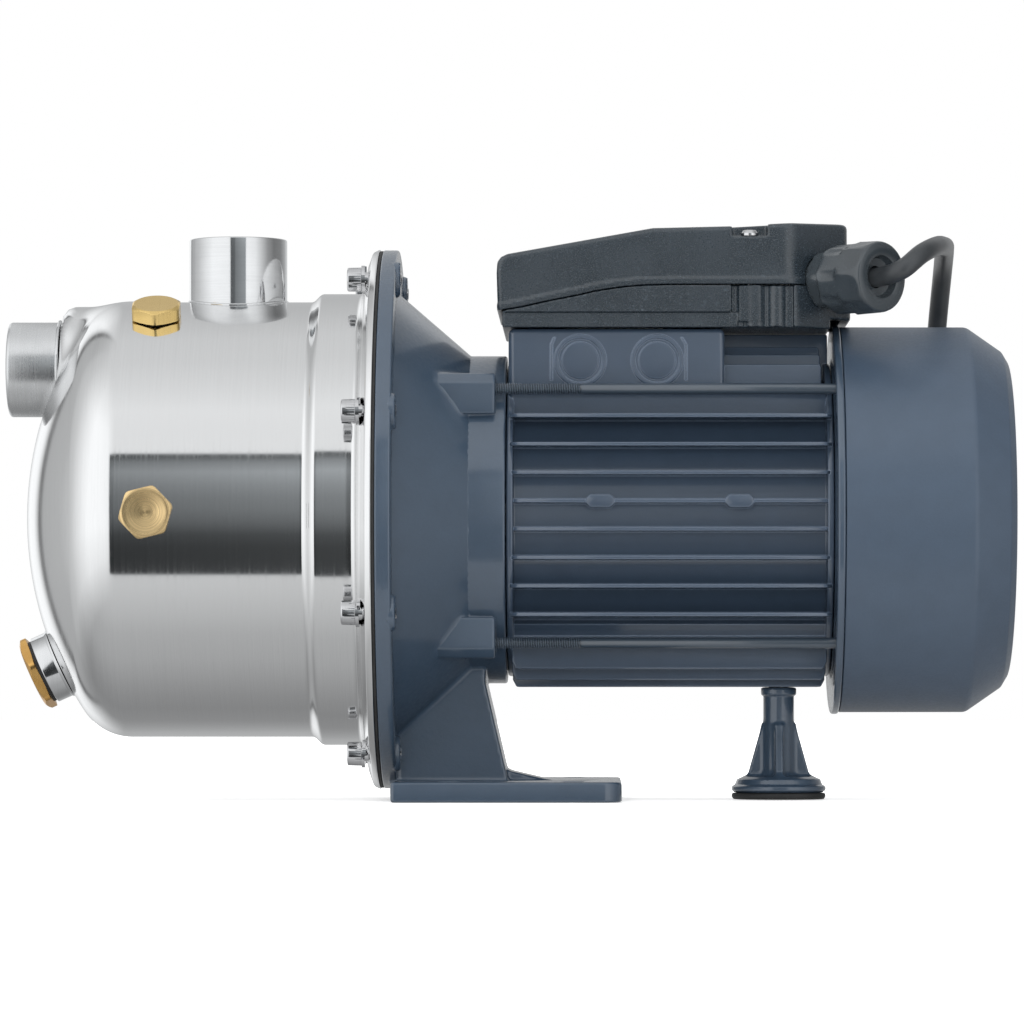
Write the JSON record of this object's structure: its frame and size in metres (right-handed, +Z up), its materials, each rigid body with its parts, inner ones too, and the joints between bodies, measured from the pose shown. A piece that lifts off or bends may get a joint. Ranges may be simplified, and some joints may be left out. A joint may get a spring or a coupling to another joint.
{
  "type": "self-priming jet pump",
  "caption": "Self-priming stainless jet pump with side and top threaded ports, brass plugs, finned electric motor, terminal box, cable and screw-adjusted rear foot.",
  "frame": {"origin": "middle of the base plate's underside, straight below the shaft, at floor level", "axes": "+X along the shaft from the suction port towards the fan cover, +Z up, the gland side towards -Y"},
  "size_m": [0.4282, 0.2325, 0.2452],
  "materials": {
    "polished_stainless": "polished drawn sheet with fine circumferential brushing",
    "turned_stainless": "turned, fine tool marks",
    "cast_stainless": "satin",
    "brass": "turned and brushed",
    "casting_paint": "semi-gloss blue-grey paint on a casting",
    "aluminium_paint": "semi-gloss blue-grey paint on an extrusion",
    "rod_paint": "painted over the thread",
    "cover_plastic": "satin blue-grey",
    "box_plastic": "fine grain black",
    "gland_nylon": "semi-gloss black nylon",
    "cable_rubber": "matte black",
    "seal_rubber": "matte black",
    "bright_steel": "zinc-bright machined steel",
    "shaft_steel": "ground",
    "bearing_steel": "polished",
    "laminated_iron": "stacked sheet edges",
    "winding_copper": "enamelled copper wire, laced",
    "dark_polymer": "moulded",
    "carbon": "lapped",
    "light_polymer": "moulded off-white"
  },
  "bodies": {
    "pump_set": {"casing_shell": "polished_stainless", "suction_port": "turned_stainless", "discharge_port": "turned_stainless", "drain_socket": "turned_stainless", "ejector_nozzle": "brass", "flange_gasket": "seal_rubber", "flange_screw_1": "bright_steel", "flange_screw_2": "bright_steel", "flange_screw_3": "bright_steel", "flange_screw_4": "bright_steel", "flange_screw_5": "bright_steel", "flange_screw_6": "bright_steel", "flange_screw_7": "bright_steel", "flange_screw_8": "bright_steel", "foot_stud": "bright_steel", "motor_bracket": "casting_paint", "rear_end_shield": "casting_paint", "motor_housing": "aluminium_paint", "tie_rod_1": "rod_paint", "tie_rod_2": "rod_paint", "tie_rod_3": "rod_paint", "tie_rod_4": "rod_paint", "fan_cover": "cover_plastic", "terminal_frame": "box_plastic", "gland_body": "gland_nylon", "power_cable": "cable_rubber", "power_plug": "cable_rubber", "seal_plate": "cast_stainless", "front_bearing_outer": "bearing_steel", "rear_bearing_outer": "bearing_steel", "stator_core": "laminated_iron", "winding_front": "winding_copper", "winding_rear": "winding_copper", "diffuser": "dark_polymer", "ejector_body": "dark_polymer", "seal_seat": "carbon", "terminal_block": "light_polymer", "capacitor": "light_polymer"},
    "rotor": {"shaft": "shaft_steel", "rotor_core": "laminated_iron", "impeller": "cast_stainless", "impeller_nut": "bright_steel", "seal_head": "carbon", "cooling_fan": "dark_polymer", "front_bearing_inner": "bearing_steel", "rear_bearing_inner": "bearing_steel"},
    "front_ball_set": {"front_bearing_balls": "bearing_steel"},
    "rear_ball_set": {"rear_bearing_balls": "bearing_steel"},
    "fill_seal": {"fill_plug_seal": "seal_rubber"},
    "fill_plug": {"fill_plug": "brass"},
    "vent_seal": {"vent_plug_seal": "seal_rubber"},
    "vent_plug": {"vent_plug": "brass"},
    "drain_seal": {"drain_plug_seal": "seal_rubber"},
    "drain_plug": {"drain_plug": "brass"},
    "foot_pad": {"foot_pad": "seal_rubber"},
    "support_foot": {"support_foot": "casting_paint"},
    "gland_nut": {"gland_nut": "gland_nylon"},
    "terminal_lid": {"terminal_lid": "box_plastic", "lid_screw_1": "bright_steel", "lid_screw_2": "bright_steel"}
  },
  "joints": [
    {"name": "rotor_spin", "type": "hinge", "parent": "pump_set", "child": "rotor", "pos_m": [0, 0, 0.12], "axis": [1, 0, 0], "continuous": true},
    {"name": "front_balls_roll", "type": "hinge", "parent": "pump_set", "child": "front_ball_set", "pos_m": [0, 0, 0.12], "axis": [1, 0, 0], "continuous": true},
    {"name": "rear_balls_roll", "type": "hinge", "parent": "pump_set", "child": "rear_ball_set", "pos_m": [0, 0, 0.12], "axis": [1, 0, 0], "continuous": true},
    {"name": "fill_plug_lift", "type": "slide", "parent": "pump_set", "child": "fill_seal", "axis": [0, -0.4226, 0.9063], "range_m": [0, 0.008]},
    {"name": "fill_plug_turn", "type": "hinge", "parent": "fill_seal", "child": "fill_plug", "pos_m": [-0.1483, 0, 0.12], "axis": [0, -0.4226, 0.9063], "range_deg": [0, 2160]},
    {"name": "vent_plug_lift", "type": "slide", "parent": "pump_set", "child": "vent_seal", "axis": [0, -1, 0], "range_m": [0, 0.008]},
    {"name": "vent_plug_turn", "type": "hinge", "parent": "vent_seal", "child": "vent_plug", "pos_m": [-0.1483, 0, 0.12], "axis": [0, -1, 0], "range_deg": [0, 2160]},
    {"name": "drain_plug_lift", "type": "slide", "parent": "pump_set", "child": "drain_seal", "axis": [-0.9114, 0, -0.4115], "range_m": [0, 0.0108]},
    {"name": "drain_plug_turn", "type": "hinge", "parent": "drain_seal", "child": "drain_plug", "pos_m": [-0.0563, 0, 0.12], "axis": [-0.9114, 0, -0.4115], "range_deg": [0, 2160]},
    {"name": "foot_lift", "type": "slide", "parent": "pump_set", "child": "foot_pad", "axis": [0, 0, -1], "range_m": [-0.00074, 0.00598]},
    {"name": "foot_turn", "type": "hinge", "parent": "foot_pad", "child": "support_foot", "pos_m": [0.116, 0, 0.02], "axis": [0, 0, -1], "range_deg": [-180, 1440]},
    {"name": "gland_nut_turn", "type": "hinge", "parent": "pump_set", "child": "gland_nut", "pos_m": [0.1343, -0.0375, 0.22], "axis": [0.7071, -0.7071, 0], "range_deg": [0, 180]},
    {"name": "lid_lift", "type": "slide", "parent": "pump_set", "child": "terminal_lid", "axis": [0, 0, 1], "range_m": [0, 0.06]}
  ],
  "couplings": [
    {"joint": "front_balls_roll", "follows": "rotor_spin", "ratio": 0.3818},
    {"joint": "rear_balls_roll", "follows": "rotor_spin", "ratio": 0.38},
    {"joint": "fill_plug_turn", "follows": "fill_plug_lift", "rad_per_m": 4699.5},
    {"joint": "vent_plug_turn", "follows": "vent_plug_lift", "rad_per_m": 4699.5},
    {"joint": "drain_plug_turn", "follows": "drain_plug_lift", "rad_per_m": 3463.7},
    {"joint": "foot_turn", "follows": "foot_lift", "rad_per_m": 4188.8}
  ]
}
